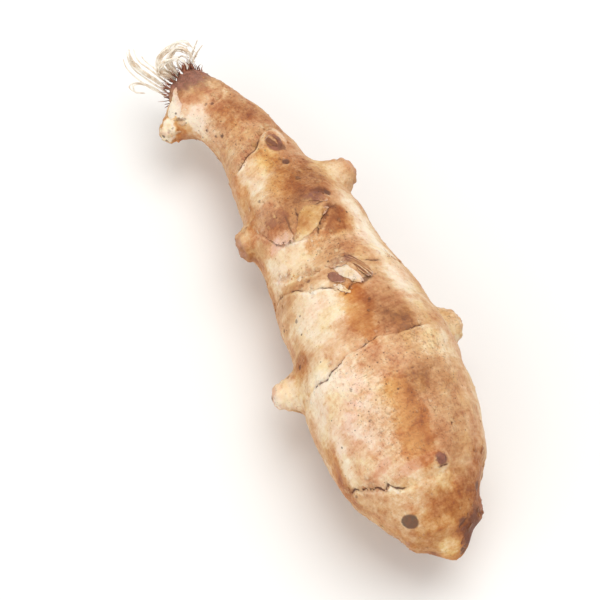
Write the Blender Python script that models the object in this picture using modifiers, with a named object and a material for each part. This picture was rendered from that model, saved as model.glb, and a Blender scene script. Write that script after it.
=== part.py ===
"""A Jerusalem artichoke tuber lying on its belly: one grown body with its buds, and rootlets at its stem end.

The tuber lies along X with its growing tip at +X and its stem end at -X. It narrows towards the stem end into
a bent neck. Its buds stand in opposite pairs, each pair a quarter turn round from the one before it.
"""

import math

import bmesh
import bpy
from mathutils import Vector
from mathutils.bvhtree import BVHTree

MM = 0.001

# Driving dimensions of the tuber, in millimetres.
LENGTH = 128.6
GIRTH_RADIUS = 17.4

# The spine from the stem end to the tip: along X and sideways along Y as shares of LENGTH, then the height of
# the underside above the ground and the radius as shares of GIRTH_RADIUS.
STATIONS = (
    (-0.500, 0.006, 0.38, 0.33),
    (-0.427, 0.021, 0.40, 0.39),
    (-0.341, 0.052, 0.37, 0.42),
    (-0.247, 0.050, 0.31, 0.54),
    (-0.139, 0.050, 0.19, 0.70),
    (-0.023, 0.040, 0.05, 0.80),
    (0.114, 0.025, -0.035, 0.97),
    (0.215, 0.001, -0.015, 1.01),
    (0.300, -0.015, 0.05, 0.96),
    (0.372, -0.027, 0.17, 0.79),
    (0.429, -0.029, 0.32, 0.57),
    (0.467, -0.030, 0.43, 0.35),
    (0.496, -0.031, 0.55, 0.12),
)
SPINE_POINTS = 90
SPINE_SIDES = 12

# Buds: place along the spine (0 stem end, 1 tip), angle round it in degrees (0 up, 90 towards -Y), how far the
# bud stands out, its radius at the skin and at its end in millimetres, and its lean to the tip in degrees.
BUDS = {
    "neck_near": (0.066, 97.0, 5.4, 5.0, 2.5, 0.0),
    "neck_top": (0.227, -11.0, 0.9, 2.8, 1.6, 6.0),
    "neck_under": (0.235, 170.0, 1.6, 2.4, 1.2, 10.0),
    "shoulder_far": (0.296, -78.0, 5.2, 4.4, 2.8, 0.0),
    "shoulder_near": (0.326, 91.0, 3.9, 4.2, 3.1, -4.0),
    "waist_top": (0.459, 1.0, 1.5, 2.8, 1.4, 24.0),
    "waist_under": (0.452, 178.0, 1.5, 2.8, 1.5, 12.0),
    "belly_near": (0.534, 96.0, 5.7, 4.6, 3.0, -4.0),
    "belly_far": (0.506, -86.0, 3.6, 4.2, 3.1, -4.0),
    "nose_top": (0.744, -5.0, 0.6, 2.4, 1.4, 18.0),
    "nose_far": (0.868, -72.0, 1.3, 2.4, 1.3, 20.0),
    "nose_near": (0.885, 88.0, 1.1, 2.4, 1.3, 24.0),
}
# The bud at the tip: place along the spine, length past it, radius at its root and at its end.
APICAL_BUD = (0.955, 2.7, 2.8, 1.8)

# The nodes, where a scale leaf once went round the tuber and the body is a little thicker: their places along
# the spine, how much is added to the radius in millimetres, and how far that reaches, as a share of the spine.
NODES = (0.085, 0.222, 0.350, 0.447, 0.548, 0.742, 0.875)
NODE_SWELL = 0.45
NODE_REACH = 0.014

# How the pieces of the body are blended into one skin, in millimetres.
SKIN_VOXEL = 0.85
SKIN_SMOOTHING_ROUNDS = 6
LUMP_SIZE = 15.0
LUMP_HEIGHT = 2.0
RIPPLE_SIZE = 5.0
RIPPLE_HEIGHT = 0.55
SKIN_TRIANGLES_KEPT = 0.26  # share of the blended skin's faces

# Rootlets at the stem end, each a smooth curve through points in millimetres: out from the scar's middle, sideways
# (-Y) and up. The first point's place on the scar is used, and its height is found on the skin. Five are swept to
# one side as a wisp, six arch over the scar, two stand up and one hangs in a loop.
ROOTLETS = (
    ((0.0, 3.5, 2.6), (1.9, 4.9, 4.7), (4.0, 5.9, 6.1), (6.2, 6.8, 7.2), (7.8, 6.8, 8.2), (9.4, 6.1, 9.7)),
    ((0.0, 4.0, 1.7), (2.2, 5.6, 3.7), (4.5, 6.6, 5.0), (6.7, 7.3, 6.2), (8.3, 7.3, 7.3), (9.6, 6.7, 8.6)),
    ((0.0, 3.0, 3.5), (1.3, 4.4, 5.9), (3.4, 5.3, 7.4), (5.4, 6.1, 8.5), (6.8, 6.2, 9.6), (7.9, 5.8, 10.8)),
    ((0.0, 4.3, 0.7), (2.4, 6.3, 2.6), (4.8, 7.4, 4.0), (7.1, 8.0, 5.2), (8.6, 8.1, 6.2), (9.8, 7.7, 7.3)),
    ((0.0, 2.3, 4.0), (0.8, 4.3, 7.0), (2.3, 4.9, 8.6), (3.9, 5.6, 9.7), (5.0, 5.8, 10.7)),
    (
        (0.0, 0.7, 4.5),
        (2.6, 3.2, 7.2),
        (3.2, 2.2, 9.6),
        (2.7, -0.6, 11.1),
        (1.7, -3.2, 11.6),
        (-0.3, -4.5, 10.0),
        (-1.7, -4.3, 8.3),
    ),
    (
        (0.0, -0.1, 4.6),
        (1.2, 1.6, 8.3),
        (1.4, 1.0, 10.6),
        (0.7, -0.9, 11.9),
        (-0.6, -2.5, 11.1),
        (-2.0, -3.0, 9.7),
        (-2.8, -2.6, 8.3),
    ),
    ((0.0, 0.1, 3.7), (2.2, 0.6, 6.8), (2.9, -0.9, 8.8), (2.4, -2.9, 9.4), (0.8, -3.8, 8.4), (-0.5, -3.2, 7.0)),
    (
        (0.0, 1.5, 4.3),
        (-0.5, 3.0, 7.0),
        (0.2, 4.2, 9.0),
        (0.4, 3.5, 10.9),
        (-1.0, 0.7, 11.2),
        (-2.6, -0.5, 9.9),
        (-3.4, -0.3, 8.7),
    ),
    ((0.0, -1.5, 3.7), (1.4, -1.0, 6.2), (1.6, -2.4, 7.4), (0.6, -3.2, 6.8)),
    ((0.0, 1.1, 2.7), (2.6, 2.3, 4.8), (4.2, 1.9, 6.5), (4.6, 0.0, 7.9), (4.4, -2.5, 8.7), (3.5, -4.1, 8.5)),
    ((0.0, -2.2, 4.0), (0.4, -4.3, 7.0), (-0.4, -5.9, 11.6)),
    ((0.0, -2.9, 3.4), (0.6, -5.0, 5.6), (-0.4, -7.0, 9.0)),
    (
        (0.0, 4.1, -0.3),
        (2.6, 5.0, 1.2),
        (4.7, 6.7, 2.5),
        (6.1, 8.5, 2.8),
        (6.2, 9.5, 2.2),
        (5.1, 8.9, 1.1),
        (3.9, 7.1, 0.3),
    ),
)
ROOTLET_RADIUS = 0.24
ROOTLET_TAPER = 0.55
ROOTLET_SIDES = 2
ROOTLET_STEPS = 22
ROOTLET_GAP = 0.35

SKIN_COLOUR = (0.63, 0.40, 0.22, 1.0)
ROOTLET_COLOUR = (0.80, 0.72, 0.58, 1.0)


def clear_scene():
    for old in list(bpy.data.objects):
        bpy.data.objects.remove(old, do_unlink=True)


def make_collection(name):
    made = bpy.data.collections.new(name)
    bpy.context.scene.collection.children.link(made)
    return made


def make_material(name, colour, roughness):
    material = bpy.data.materials.new(name)
    material.use_nodes = True
    shader = material.node_tree.nodes["Principled BSDF"]
    shader.inputs["Base Color"].default_value = colour
    shader.inputs["Roughness"].default_value = roughness
    shader.inputs["Metallic"].default_value = 0.0
    return material


def blended(values, share):
    """A smooth curve through equally spaced values, read at a share from 0 to 1 of the way along them."""
    place = min(max(share, 0.0), 1.0) * (len(values) - 1)
    first = min(int(place), len(values) - 2)
    t = place - first
    before = values[max(first - 1, 0)]
    start, end = values[first], values[first + 1]
    after = values[min(first + 2, len(values) - 1)]
    pull_start = (end - before) / 2
    pull_end = (after - start) / 2
    return (
        start * (2 * t**3 - 3 * t**2 + 1)
        + pull_start * (t**3 - 2 * t**2 + t)
        + end * (3 * t**2 - 2 * t**3)
        + pull_end * (t**3 - t**2)
    )


def spine_at(share):
    """The spine's point and the body's radius there, in metres."""
    across, sideways, underside, girth = (
        blended(column, share) for column in zip(*STATIONS)
    )
    radius = girth * GIRTH_RADIUS
    height = underside * GIRTH_RADIUS + radius
    return Vector((across * LENGTH, sideways * LENGTH, height)) * MM, radius * MM


def direction_at(share):
    """The spine's unit direction towards the tip."""
    step = 0.01
    ahead, _ = spine_at(min(share + step, 1.0))
    behind, _ = spine_at(max(share - step, 0.0))
    return (ahead - behind).normalized()


def around(share, degrees):
    """The unit direction out of the spine at this angle: 0 is up, and 90 is towards -Y."""
    along = direction_at(share)
    side = along.cross(Vector((0, 0, 1))).normalized()
    up = side.cross(along).normalized()
    turn = math.radians(degrees)
    return up * math.cos(turn) + side * math.sin(turn)


def tapered_rod(name, places, sides):
    """A round curve object through (point, radius) pairs in metres, closed at both ends."""
    data = bpy.data.curves.new(name, "CURVE")
    data.dimensions = "3D"
    data.bevel_depth = 1.0
    data.bevel_resolution = sides
    data.use_fill_caps = True
    spline = data.splines.new("POLY")
    spline.points.add(len(places) - 1)
    for knot, (point, radius) in zip(spline.points, places):
        knot.co = (*point, 1.0)
        knot.radius = radius
    return bpy.data.objects.new(name, data)


def node_swell(share):
    """What the nodes add to the radius, in metres: a slow rise from the stem end, then a sharper fall."""
    added = 0.0
    for node in NODES:
        reach = NODE_REACH * (2.0 if share < node else 1.0)
        added += math.exp(-(((share - node) / reach) ** 2))
    return added * NODE_SWELL * MM


def body_rod():
    """The body without its buds."""
    places = []
    for i in range(SPINE_POINTS):
        share = i / (SPINE_POINTS - 1)
        point, radius = spine_at(share)
        places.append((point, radius + node_swell(share)))
    return tapered_rod("body_rod", places, SPINE_SIDES)


def bud_rod(name, bud):
    """One bud, from inside the body to its rounded end."""
    share, degrees, stand, root, end, lean = bud
    middle, body_radius = spine_at(share)
    out = around(share, degrees)
    tipward = direction_at(share) * math.sin(math.radians(lean))
    heading = (out * math.cos(math.radians(lean)) + tipward).normalized()
    skin = middle + out * body_radius
    profile = (
        (-0.9 * root, 1.25 * root),
        (-0.1 * root, 1.1 * root),
        (0.35 * stand, 0.65 * root + 0.35 * end),
        (0.75 * stand, 0.15 * root + 0.85 * end),
        (0.95 * stand, 0.85 * end),
        (1.05 * stand, 0.4 * end),
    )
    places = [(skin + heading * (far * MM), radius * MM) for far, radius in profile]
    return tapered_rod(name, places, SPINE_SIDES // 2)


def apical_rod():
    """The blunt bud that the tuber grows from, at its tip."""
    share, length, root, end = APICAL_BUD
    start, _ = spine_at(share)
    heading = direction_at(share)
    profile = (
        (-3.0, root),
        (0.0, root),
        (0.6 * length, end),
        (0.95 * length, 0.7 * end),
        (length, 0.3 * end),
    )
    places = [(start + heading * (far * MM), radius * MM) for far, radius in profile]
    return tapered_rod("apical_rod", places, SPINE_SIDES // 2)


def joined_mesh(name, rods, collection):
    """One mesh of the rods' closed surfaces, which still overlap. The rods are removed."""
    gathered = bmesh.new()
    for rod in rods:
        collection.objects.link(rod)
    bpy.context.view_layer.update()
    graph = bpy.context.evaluated_depsgraph_get()
    for rod in rods:
        piece = bpy.data.meshes.new_from_object(rod.evaluated_get(graph))
        piece.transform(rod.matrix_world)
        gathered.from_mesh(piece)
        bpy.data.meshes.remove(piece)
    bmesh.ops.remove_doubles(gathered, verts=gathered.verts, dist=0.00002)
    mesh = bpy.data.meshes.new(name)
    gathered.to_mesh(mesh)
    gathered.free()
    for rod in rods:
        bpy.data.objects.remove(rod, do_unlink=True)
    return mesh


def add_displacement(obj, name, size, height):
    """Uneven growth: soft lumps of this size, half of them out and half of them in."""
    texture = bpy.data.textures.new(name, "CLOUDS")
    texture.noise_scale = size * MM
    texture.noise_depth = 1
    modifier = obj.modifiers.new(name, "DISPLACE")
    modifier.texture = texture
    modifier.texture_coords = "LOCAL"
    modifier.mid_level = 0.5
    modifier.strength = height * MM


def ground_cutter(collection):
    """A block under the ground plane, which leaves the small flat that the tuber rests on."""
    depth = 10 * MM
    bpy.ops.mesh.primitive_cube_add(size=1.0, location=(0, 0, -depth / 2))
    cutter = bpy.context.object
    cutter.name = "ground_cutter"
    cutter.scale = (2 * LENGTH * MM, 4 * GIRTH_RADIUS * MM, depth)
    for old in list(cutter.users_collection):
        old.objects.unlink(cutter)
    collection.objects.link(cutter)
    cutter.hide_render = True
    cutter.display_type = "WIRE"
    return cutter


def build_tuber(collection, helpers, material):
    rods = [body_rod(), apical_rod()]
    rods += [bud_rod(name, bud) for name, bud in BUDS.items()]
    tuber = bpy.data.objects.new("tuber", joined_mesh("tuber", rods, collection))
    collection.objects.link(tuber)
    tuber.data.materials.append(material)

    skin = tuber.modifiers.new("one_skin", "REMESH")
    skin.mode = "VOXEL"
    skin.voxel_size = SKIN_VOXEL * MM
    skin.use_smooth_shade = True

    smooth = tuber.modifiers.new("soften_buds", "SMOOTH")
    smooth.factor = 0.5
    smooth.iterations = SKIN_SMOOTHING_ROUNDS

    add_displacement(tuber, "lumps", LUMP_SIZE, LUMP_HEIGHT)
    add_displacement(tuber, "ripples", RIPPLE_SIZE, RIPPLE_HEIGHT)

    thin = tuber.modifiers.new("thin_out", "DECIMATE")
    thin.ratio = SKIN_TRIANGLES_KEPT

    rest = tuber.modifiers.new("resting_flat", "BOOLEAN")
    rest.operation = "DIFFERENCE"
    rest.solver = "EXACT"
    rest.object = ground_cutter(helpers)
    return tuber


def rootlet_places(knots, scar, axes, skin):
    """(point, radius) pairs in metres along one rootlet, which starts a little clear of the skin on the scar."""
    outward, side, up = axes
    _, across, rise = knots[0]
    above = scar + (side * across + up * rise + outward * 20) * MM
    hit, _, _, _ = skin.ray_cast(above, -outward)
    lift = (hit - scar).dot(outward) / MM + ROOTLET_GAP
    knots = ((lift, across, rise), *knots[1:])
    places = []
    for i in range(ROOTLET_STEPS):
        share = i / (ROOTLET_STEPS - 1)
        out, sideways, high = (blended(column, share) for column in zip(*knots))
        point = scar + (outward * out + side * sideways + up * high) * MM
        places.append((point, ROOTLET_RADIUS * MM * (1.0 - ROOTLET_TAPER * share)))
    return places


def build_rootlets(collection, tuber, material):
    """The rootlets, each its own object, on the scar at the stem end, a little clear of the tuber's skin."""
    bpy.context.view_layer.update()
    graph = bpy.context.evaluated_depsgraph_get()
    skin = BVHTree.FromObject(tuber, graph)
    scar, _ = spine_at(0.0)
    along = direction_at(0.0)
    side = along.cross(Vector((0, 0, 1))).normalized()
    axes = (-along, side, side.cross(along).normalized())
    rootlets = []
    for i, knots in enumerate(ROOTLETS):
        places = rootlet_places(knots, scar, axes, skin)
        rootlet = tapered_rod(f"rootlet_{i + 1:02d}", places, ROOTLET_SIDES)
        rootlet.data.materials.append(material)
        collection.objects.link(rootlet)
        rootlets.append(rootlet)
    return rootlets


def world_box(objects):
    """The lowest and highest corners of the evaluated objects."""
    bpy.context.view_layer.update()
    graph = bpy.context.evaluated_depsgraph_get()
    corners = []
    for obj in objects:
        seen = obj.evaluated_get(graph)
        mesh = seen.to_mesh()
        corners += [seen.matrix_world @ vertex.co for vertex in mesh.vertices]
        seen.to_mesh_clear()
    lowest = Vector(min(c[k] for c in corners) for k in range(3))
    highest = Vector(max(c[k] for c in corners) for k in range(3))
    return lowest, highest


def centre_on_origin(objects, collection):
    """Hangs everything from one empty, moved so that the origin is under the middle of the whole object."""
    lowest, highest = world_box(objects)
    middle = (lowest + highest) / 2
    origin = bpy.data.objects.new("artichoke_origin", None)
    collection.objects.link(origin)
    for obj in objects:
        obj.parent = origin
    origin.location = (-middle.x, -middle.y, -lowest.z)
    return origin


def main():
    clear_scene()
    artichoke = make_collection("jerusalem_artichoke")
    helpers = make_collection("cutters")
    skin = make_material("tuber_skin", SKIN_COLOUR, 0.6)
    root = make_material("rootlet", ROOTLET_COLOUR, 0.7)
    tuber = build_tuber(artichoke, helpers, skin)
    rootlets = build_rootlets(artichoke, tuber, root)
    centre_on_origin([tuber, *rootlets], artichoke)


main()
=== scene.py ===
"""How a Jerusalem artichoke tuber looks: skin, scars, buds, scales and root hairs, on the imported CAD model.

Lengths in this file are in millimetres unless a name says otherwise. Places on the tuber are given as a
share of its spine, 0 at the stem end and 1 at the tip, and an angle round it in degrees, 0 on top and 90
towards -Y.
"""

import itertools
import math
import random

import bmesh
import bpy
import numpy as np
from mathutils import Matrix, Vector
from mathutils.bvhtree import BVHTree
from mathutils.kdtree import KDTree

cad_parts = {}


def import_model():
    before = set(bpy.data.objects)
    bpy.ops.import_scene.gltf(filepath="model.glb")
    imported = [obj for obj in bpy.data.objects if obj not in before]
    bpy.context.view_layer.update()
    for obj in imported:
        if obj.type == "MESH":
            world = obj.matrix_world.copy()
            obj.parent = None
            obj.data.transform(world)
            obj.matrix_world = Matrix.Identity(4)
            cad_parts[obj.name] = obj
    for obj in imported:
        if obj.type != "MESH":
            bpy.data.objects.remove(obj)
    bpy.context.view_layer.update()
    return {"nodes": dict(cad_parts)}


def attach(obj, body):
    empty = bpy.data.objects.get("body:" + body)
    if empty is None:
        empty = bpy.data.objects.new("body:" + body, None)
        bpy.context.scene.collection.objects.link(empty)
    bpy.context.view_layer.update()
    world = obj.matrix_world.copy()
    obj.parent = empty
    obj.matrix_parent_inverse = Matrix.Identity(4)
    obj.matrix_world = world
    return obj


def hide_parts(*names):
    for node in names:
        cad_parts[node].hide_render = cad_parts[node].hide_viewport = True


MM = 0.001

# The spine, as the CAD source has it: shares of LENGTH along X and sideways along Y, then shares of
# GIRTH_RADIUS for the height of the underside and for the radius. ORIGIN is where its origin is in the frame.
LENGTH = 128.6
GIRTH_RADIUS = 17.4
ORIGIN = np.array((4.792, -1.515, 0.0))
STATIONS = (
    (-0.5, 0.006, 0.38, 0.33), (-0.427, 0.021, 0.4, 0.39), (-0.341, 0.052, 0.37, 0.42),
    (-0.247, 0.05, 0.31, 0.54), (-0.139, 0.05, 0.19, 0.7), (-0.023, 0.04, 0.05, 0.8),
    (0.114, 0.025, -0.035, 0.97), (0.215, 0.001, -0.015, 1.01), (0.3, -0.015, 0.05, 0.96),
    (0.372, -0.027, 0.17, 0.79), (0.429, -0.029, 0.32, 0.57), (0.467, -0.03, 0.43, 0.35),
    (0.496, -0.031, 0.55, 0.12),
)
SPINE_SAMPLES = 480
OUTSIDE = 45  # this far from the spine is outside the tuber
BLOCK = 8000  # how many points are measured against the spine at a time

# The skin's mesh.
SKIN_VOXEL = 0.42
SKIN_SMOOTHING_ROUNDS = 13
CRACK_REACH = 0.9  # faces this near a crack are split once more
CRACK_WIDTH = 0.22
VALLEY_WIDTH = 0.8  # of the shallow valley that each crack lies in
SLIT_WIDTH = 0.28
PATCH_RAGGED = 0.35  # how far a colour patch's edge wanders, as a share of its size
PATCH_SOFT = 0.40  # how wide that edge is, likewise

# The scars that scale leaves left round the tuber: how deep each one's crack is, how high the skin steps up
# behind it, the angles between which it is open, and (angle, share) along it.
RINGS = {
    "neck": (0.16, 0.05, (-46, 12), (
        (-90, 0.078), (-54, 0.082), (-9, 0.102), (11, 0.1), (20, 0.094), (40, 0.08), (140, 0.088),
    )),
    "shoulder": (0.34, 0.12, (-12, 60), (
        (-90, 0.196), (-50, 0.196), (-8, 0.206), (2, 0.211), (16, 0.225), (28, 0.228), (44, 0.233),
        (55, 0.236), (140, 0.226),
    )),
    "scales": (0.16, 0.12, (-14, 72), (
        (-90, 0.33), (-44, 0.345), (-10, 0.358), (2, 0.372), (17, 0.38), (31, 0.373), (46, 0.37),
        (57, 0.345), (68, 0.33), (88, 0.33), (150, 0.35),
    )),
    "waist_fold": (0.07, 0.07, (14, 90), (
        (-90, 0.43), (0, 0.434), (26, 0.435), (39, 0.426), (58, 0.415), (73, 0.398), (95, 0.387),
        (150, 0.41),
    )),
    "waist": (0.26, 0.2, (10, 84), (
        (-90, 0.436), (-40, 0.446), (-5, 0.476), (10, 0.474), (17, 0.467), (23, 0.46), (38, 0.45),
        (54, 0.434), (72, 0.424), (120, 0.426),
    )),
    "belly": (0.34, 0.28, (-30, 66), (
        (-90, 0.528), (-40, 0.536), (-16, 0.548), (5, 0.552), (22, 0.562), (30, 0.563), (34, 0.57),
        (47, 0.574), (61, 0.573), (76, 0.578), (150, 0.56),
    )),
    "nose": (0.3, 0.15, (26, 82), (
        (-90, 0.76), (-40, 0.772), (0, 0.776), (28, 0.767), (37, 0.762), (40, 0.75), (46, 0.755),
        (70, 0.732), (84, 0.728), (140, 0.736),
    )),
    "tip": (0.08, 0.08, (175, 185), (
        (-90, 0.872), (-20, 0.884), (40, 0.88), (90, 0.89), (150, 0.884),
    )),
}

# The buds that stand out, as the CAD source has them: share, angle, how far each stands out, and its radius.
BUDS = {
    "neck_near": (0.066, 97.0, 5.4, 5.0),
    "neck_under": (0.235, 170.0, 1.6, 2.4),
    "shoulder_far": (0.296, -78.0, 5.2, 4.4),
    "shoulder_near": (0.326, 91.0, 3.9, 4.2),
    "waist_under": (0.452, 178.0, 1.5, 2.8),
    "belly_near": (0.534, 96.0, 5.7, 4.6),
    "belly_far": (0.506, -86.0, 3.6, 4.2),
    "nose_far": (0.868, -72.0, 1.3, 2.4),
    "nose_near": (0.885, 88.0, 1.1, 2.4),
}

# Eyes, the buds that lie flat in the skin: share, angle, half length along the spine, half width, turn, and
# how deep the moat round each is and how dark its painted shadow.
EYES = (
    (0.229, -11, 2.4, 1.8, 20, 0.6),
    (0.750, -8, 1.2, 1.5, 20, 0.15),
    (0.740, 172, 1.8, 2.2, 10, 0.5),
    (0.600, -150, 1.5, 1.8, 0, 0.5),
    (0.330, 150, 1.4, 1.7, -20, 0.5),
)

# Where the skin's tone and colour change, and a few painted highlights and shadows: share, angle, half length
# along the spine, half width, turn and strength of each patch. "light" and "brown" push the tone down and up;
# the others are marks of their own.
PATCHES = {
    "brown": (
        (0.13, -10, 20, 8, 0, 0.18), (0.185, 25, 7, 8, 0, 0.2), (0.128, 10, 4.6, 3.6, -15, 0.4),
        (0.145, -22, 6, 3, 0, 0.2), (0.285, -8, 8.5, 5.4, -8, 0.45), (0.318, -8, 6, 6, 0, 0.35),
        (0.345, 18, 5, 8.5, 0, 0.55), (0.37, -15, 4.2, 3.6, -10, 0.8), (0.385, 88, 9, 3, 0, 0.35),
        (0.326, 95, 3.5, 3.5, 0, 0.5), (0.389, 10, 2, 4, -25, 0.45), (0.42, 0, 3, 4.4, 0, 0.4),
        (0.436, 58, 2.4, 8, 10, 0.34), (0.462, 64, 1.5, 4.5, 0, 0.22), (0.489, 66, 1.2, 5.5, 0, 0.26),
        (0.5, 8, 8.5, 2.6, 0, 0.15), (0.51, -10, 6.5, 4.2, -20, 0.6), (0.536, -10, 4, 4.6, 0, 0.4),
        (0.528, 68, 3.8, 4.4, 0, 0.4), (0.655, -20, 16, 6, 0, 0.2), (0.64, -9, 6, 5, 0, 0.12),
        (0.625, -8, 4.5, 3, 20, 0.3), (0.69, -2, 5, 3, 0, 0.15), (0.72, 84, 4, 3, 0, 0.4),
        (0.84, 20, 13, 16, 0, 0.2), (0.88, -18, 11, 8, 0, 0.4), (0.955, -32, 3, 2.4, 0, 0.7),
        (0.925, -34, 4, 4, 0, 0.35), (0.88, -60, 10, 4, 0, 0.3),
    ),
    "light": (
        # The first two, on the neck, are a painted highlight.
        (0.098, 54, 4.2, 4.4, 0, 0.55), (0.094, 52, 2.2, 2.8, 0, 0.75), (0.15, 42, 7, 5, 0, 0.35),
        (0.062, 60, 3, 2, 0, 0.55), (0.26, 40, 4.4, 4.5, 0, 0.55), (0.292, 40, 3.4, 3, 0, 0.3),
        (0.215, -28, 2.4, 1.6, 0, 0.6), (0.3, -64, 4, 3, 0, 0.2), (0.364, 46, 1.2, 3.8, -10, 0.8),
        (0.392, 48, 5.2, 9, 0, 0.62), (0.38, -40, 9, 4.2, 0, 0.8), (0.45, -42, 9, 4, 0, 0.55),
        (0.48, 40, 7, 7, 0, 0.75), (0.49, -32, 8, 2.4, 0, 0.35), (0.546, 84, 3, 5, 0, 0.6),
        # The first on this line, on the near belly bud, is a painted highlight.
        (0.534, 97, 4.2, 4.2, 0, 0.55), (0.6, 52, 9, 8, 10, 0.8), (0.64, 26, 8, 6, 0, 0.35),
        (0.572, -34, 4, 4.5, 0, 0.6), (0.705, 46, 7, 6, 0, 0.4), (0.758, 24, 4, 5, 0, 0.35),
        (0.88, 22, 4, 4, 0, 0.35), (0.784, -7, 2, 2.6, 30, 0.6), (0.8, 46, 5, 6, 0, 0.25),
        (0.692, 66, 6.5, 1.6, 8, 0.5), (0.952, 14, 3, 3, 0, 1.8),
    ),
    "pink": (
        (0.075, 40, 3.4, 3.4, 0, 0.55), (0.145, 22, 11, 9, 0, 0.38), (0.322, 42, 2.4, 2, 0, 0.8),
        (0.332, 52, 4.4, 5, 0, 0.8), (0.366, 46, 1.4, 4, -10, 1), (0.585, 8, 6, 6, 0, 0.35),
        (0.65, 38, 9, 6, 0, 0.55), (0.7, 40, 8, 7, 0, 0.4), (0.724, 36, 1.1, 3.4, -20, 1),
        (0.744, 12, 1.2, 4.6, -8, 1.2),
    ),
    "rust": (
        (0.084, 80, 2, 1.6, 0, 0.8), (0.128, 104, 9, 2.6, 0, 0.45), (0.135, 6, 4.5, 3.4, -15, 0.5),
        (0.286, 66, 9, 2.2, 0, 0.75), (0.3, -8, 8, 5, 0, 0.45), (0.338, 74, 2.4, 1, 0, 0.5),
        (0.372, -13, 3.4, 3.2, 0, 0.85), (0.384, 0, 1.8, 3, -30, 0.5), (0.389, 12, 2, 4, -25, 0.6),
        (0.39, 86, 8, 3, 0, 0.6), (0.503, 10, 9, 3.2, 0, 0.95), (0.527, 70, 3.2, 3.4, 0, 0.85),
        (0.64, 5, 4.8, 3.2, 0, 1), (0.69, 3, 7.5, 4, 5, 1.1), (0.7, 84, 7, 3.2, 8, 0.9),
        (0.722, 6, 4, 3.6, 0, 0.7), (0.83, 32, 10, 12, 0, 0.35), (0.843, 77, 3.4, 2.2, 0, 0.7),
        (0.87, -62, 12, 5, 0, 0.8), (0.955, -32, 3, 2.4, 0, 1),
    ),
    "specks": (
        (0.165, 20, 9, 8, 0, 0.8), (0.285, -10, 7, 6, 0, 0.9), (0.33, 25, 7, 8, 0, 0.8),
        (0.404, -2, 4.6, 5.6, 0, 1), (0.62, -20, 16, 8, 0, 0.85), (0.64, 10, 14, 9, 0, 0.75),
    ),
    "dark": (
        # The patches at 0.241, 0.343, 0.352 and 0.47 are painted shadow, beside the neck eye and under the
        # raised edges of the shoulder and waist scales; the others are dark marks of the skin.
        (0.077, 67, 1.3, 0.5, -25, 0.7), (0.241, -18, 0.9, 1, 0, 0.8), (0.343, 35, 1.6, 0.4, -15, 0.45),
        (0.352, 30, 2.6, 0.35, 5, 0.6), (0.432, -2, 0.9, 2.4, 10, 0.4), (0.47, -6, 0.7, 1.5, -30, 0.75),
        (0.95, -55, 2, 0.9, 0, 0.6),
    ),
    "yellow": (
        (0.25, 8, 3.4, 3, 0, 0.8), (0.3, 12, 5, 4, 0, 0.6), (0.366, 62, 2, 2.6, 0, 0.35),
        (0.478, 7, 2.4, 2.6, 0, 0.8), (0.87, -12, 8, 9, 0, 0.75),
    ),
    "purple": (
        (0.326, 100, 3, 3, 0, 0.45), (0.336, 40, 1.8, 3, 15, 0.5), (0.339, -4, 1.7, 2.6, 20, 0.6),
        (0.436, 3, 2, 2.6, 0, 0.55), (0.456, 14, 1.2, 1.6, 10, 0.7), (0.752, -9, 1.1, 1.4, 0, 0.95),
    ),
}

# The stem end. CROWN_EDGE is (angle, share) along the edge of its purple-brown scar. NECK_NOTCH is the notch
# in the neck beside it: share, angle, half length, half width, depth. NECK_CRUST is the whitish crust on the
# bud beside it: share, angle, half length, half width, turn, how far it stands up.
CROWN_EDGE = ((-170, 0.040), (-90, 0.060), (-50, 0.070), (-17, 0.078), (18, 0.070), (45, 0.040), (90, 0.020))
NECK_NOTCH = (0.030, 96, 2.4, 4.0, 1.9)
NECK_CRUST = (0.072, 86, 1.5, 3.0, -25, 0.45)

# Small round marks in the skin: share, angle, radius, depth (below 0 it stands up), how dark.
SPOTS = (
    (0.823, 47, 1.75, -0.18, 0.95), (0.819, -54, 1.2, 0.2, 0.6), (0.267, -9, 0.95, 0.45, 0.8),
    (0.258, -4, 0.5, 0.2, 0.5), (0.337, -20, 0.9, 0.3, 0.75), (0.133, 58, 0.45, 0.18, 0.6),
    (0.144, 50, 0.5, 0.18, 0.7), (0.094, 19, 0.42, 0.12, 0.6), (0.101, 11, 0.46, 0.12, 0.65),
    (0.064, 96, 0.42, 0.25, 0.55), (0.07, 90, 0.42, 0.2, 0.8), (0.076, 96, 0.45, 0.2, 0.75),
    (0.075, 80, 0.35, 0.15, 0.6), (0.396, 30, 0.55, 0.1, 0.35), (0.523, 72, 0.6, 0.3, 0.75),
    (0.873, -14, 1, 0.15, 0.55), (0.6, 22, 0.35, 0.1, 0.55), (0.588, 3, 0.4, 0.12, 0.6),
    (0.577, 40, 0.3, 0.1, 0.5), (0.61, -9, 0.4, 0.12, 0.6),
)
RANDOM_SPOTS = 300
RANDOM_SPOT_RADII = (0.22, 0.60)

# Short cracks: share, angle, half length, turn from along the spine, depth.
SLITS = (
    (0.447, -22, 2.4, 105, 0.25), (0.472, 8, 2.6, 60, 0.3), (0.972, -46, 1.5, 8, 0.45),
    (0.962, -34, 1.6, 5, 0.25), (0.965, -24, 1.2, 5, 0.2), (0.962, -80, 1.1, 0, 0.25),
    (0.962, -15, 0.9, 20, 0.2), (0.876, -16, 1.6, 70, 0.18), (0.352, 20, 3.4, 16, 0.25),
    (0.346, -2, 2.3, 80, 0.35), (0.368, 2, 3.4, 42, 0.4), (0.762, -8, 1.5, 95, 0.15),
)

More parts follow.
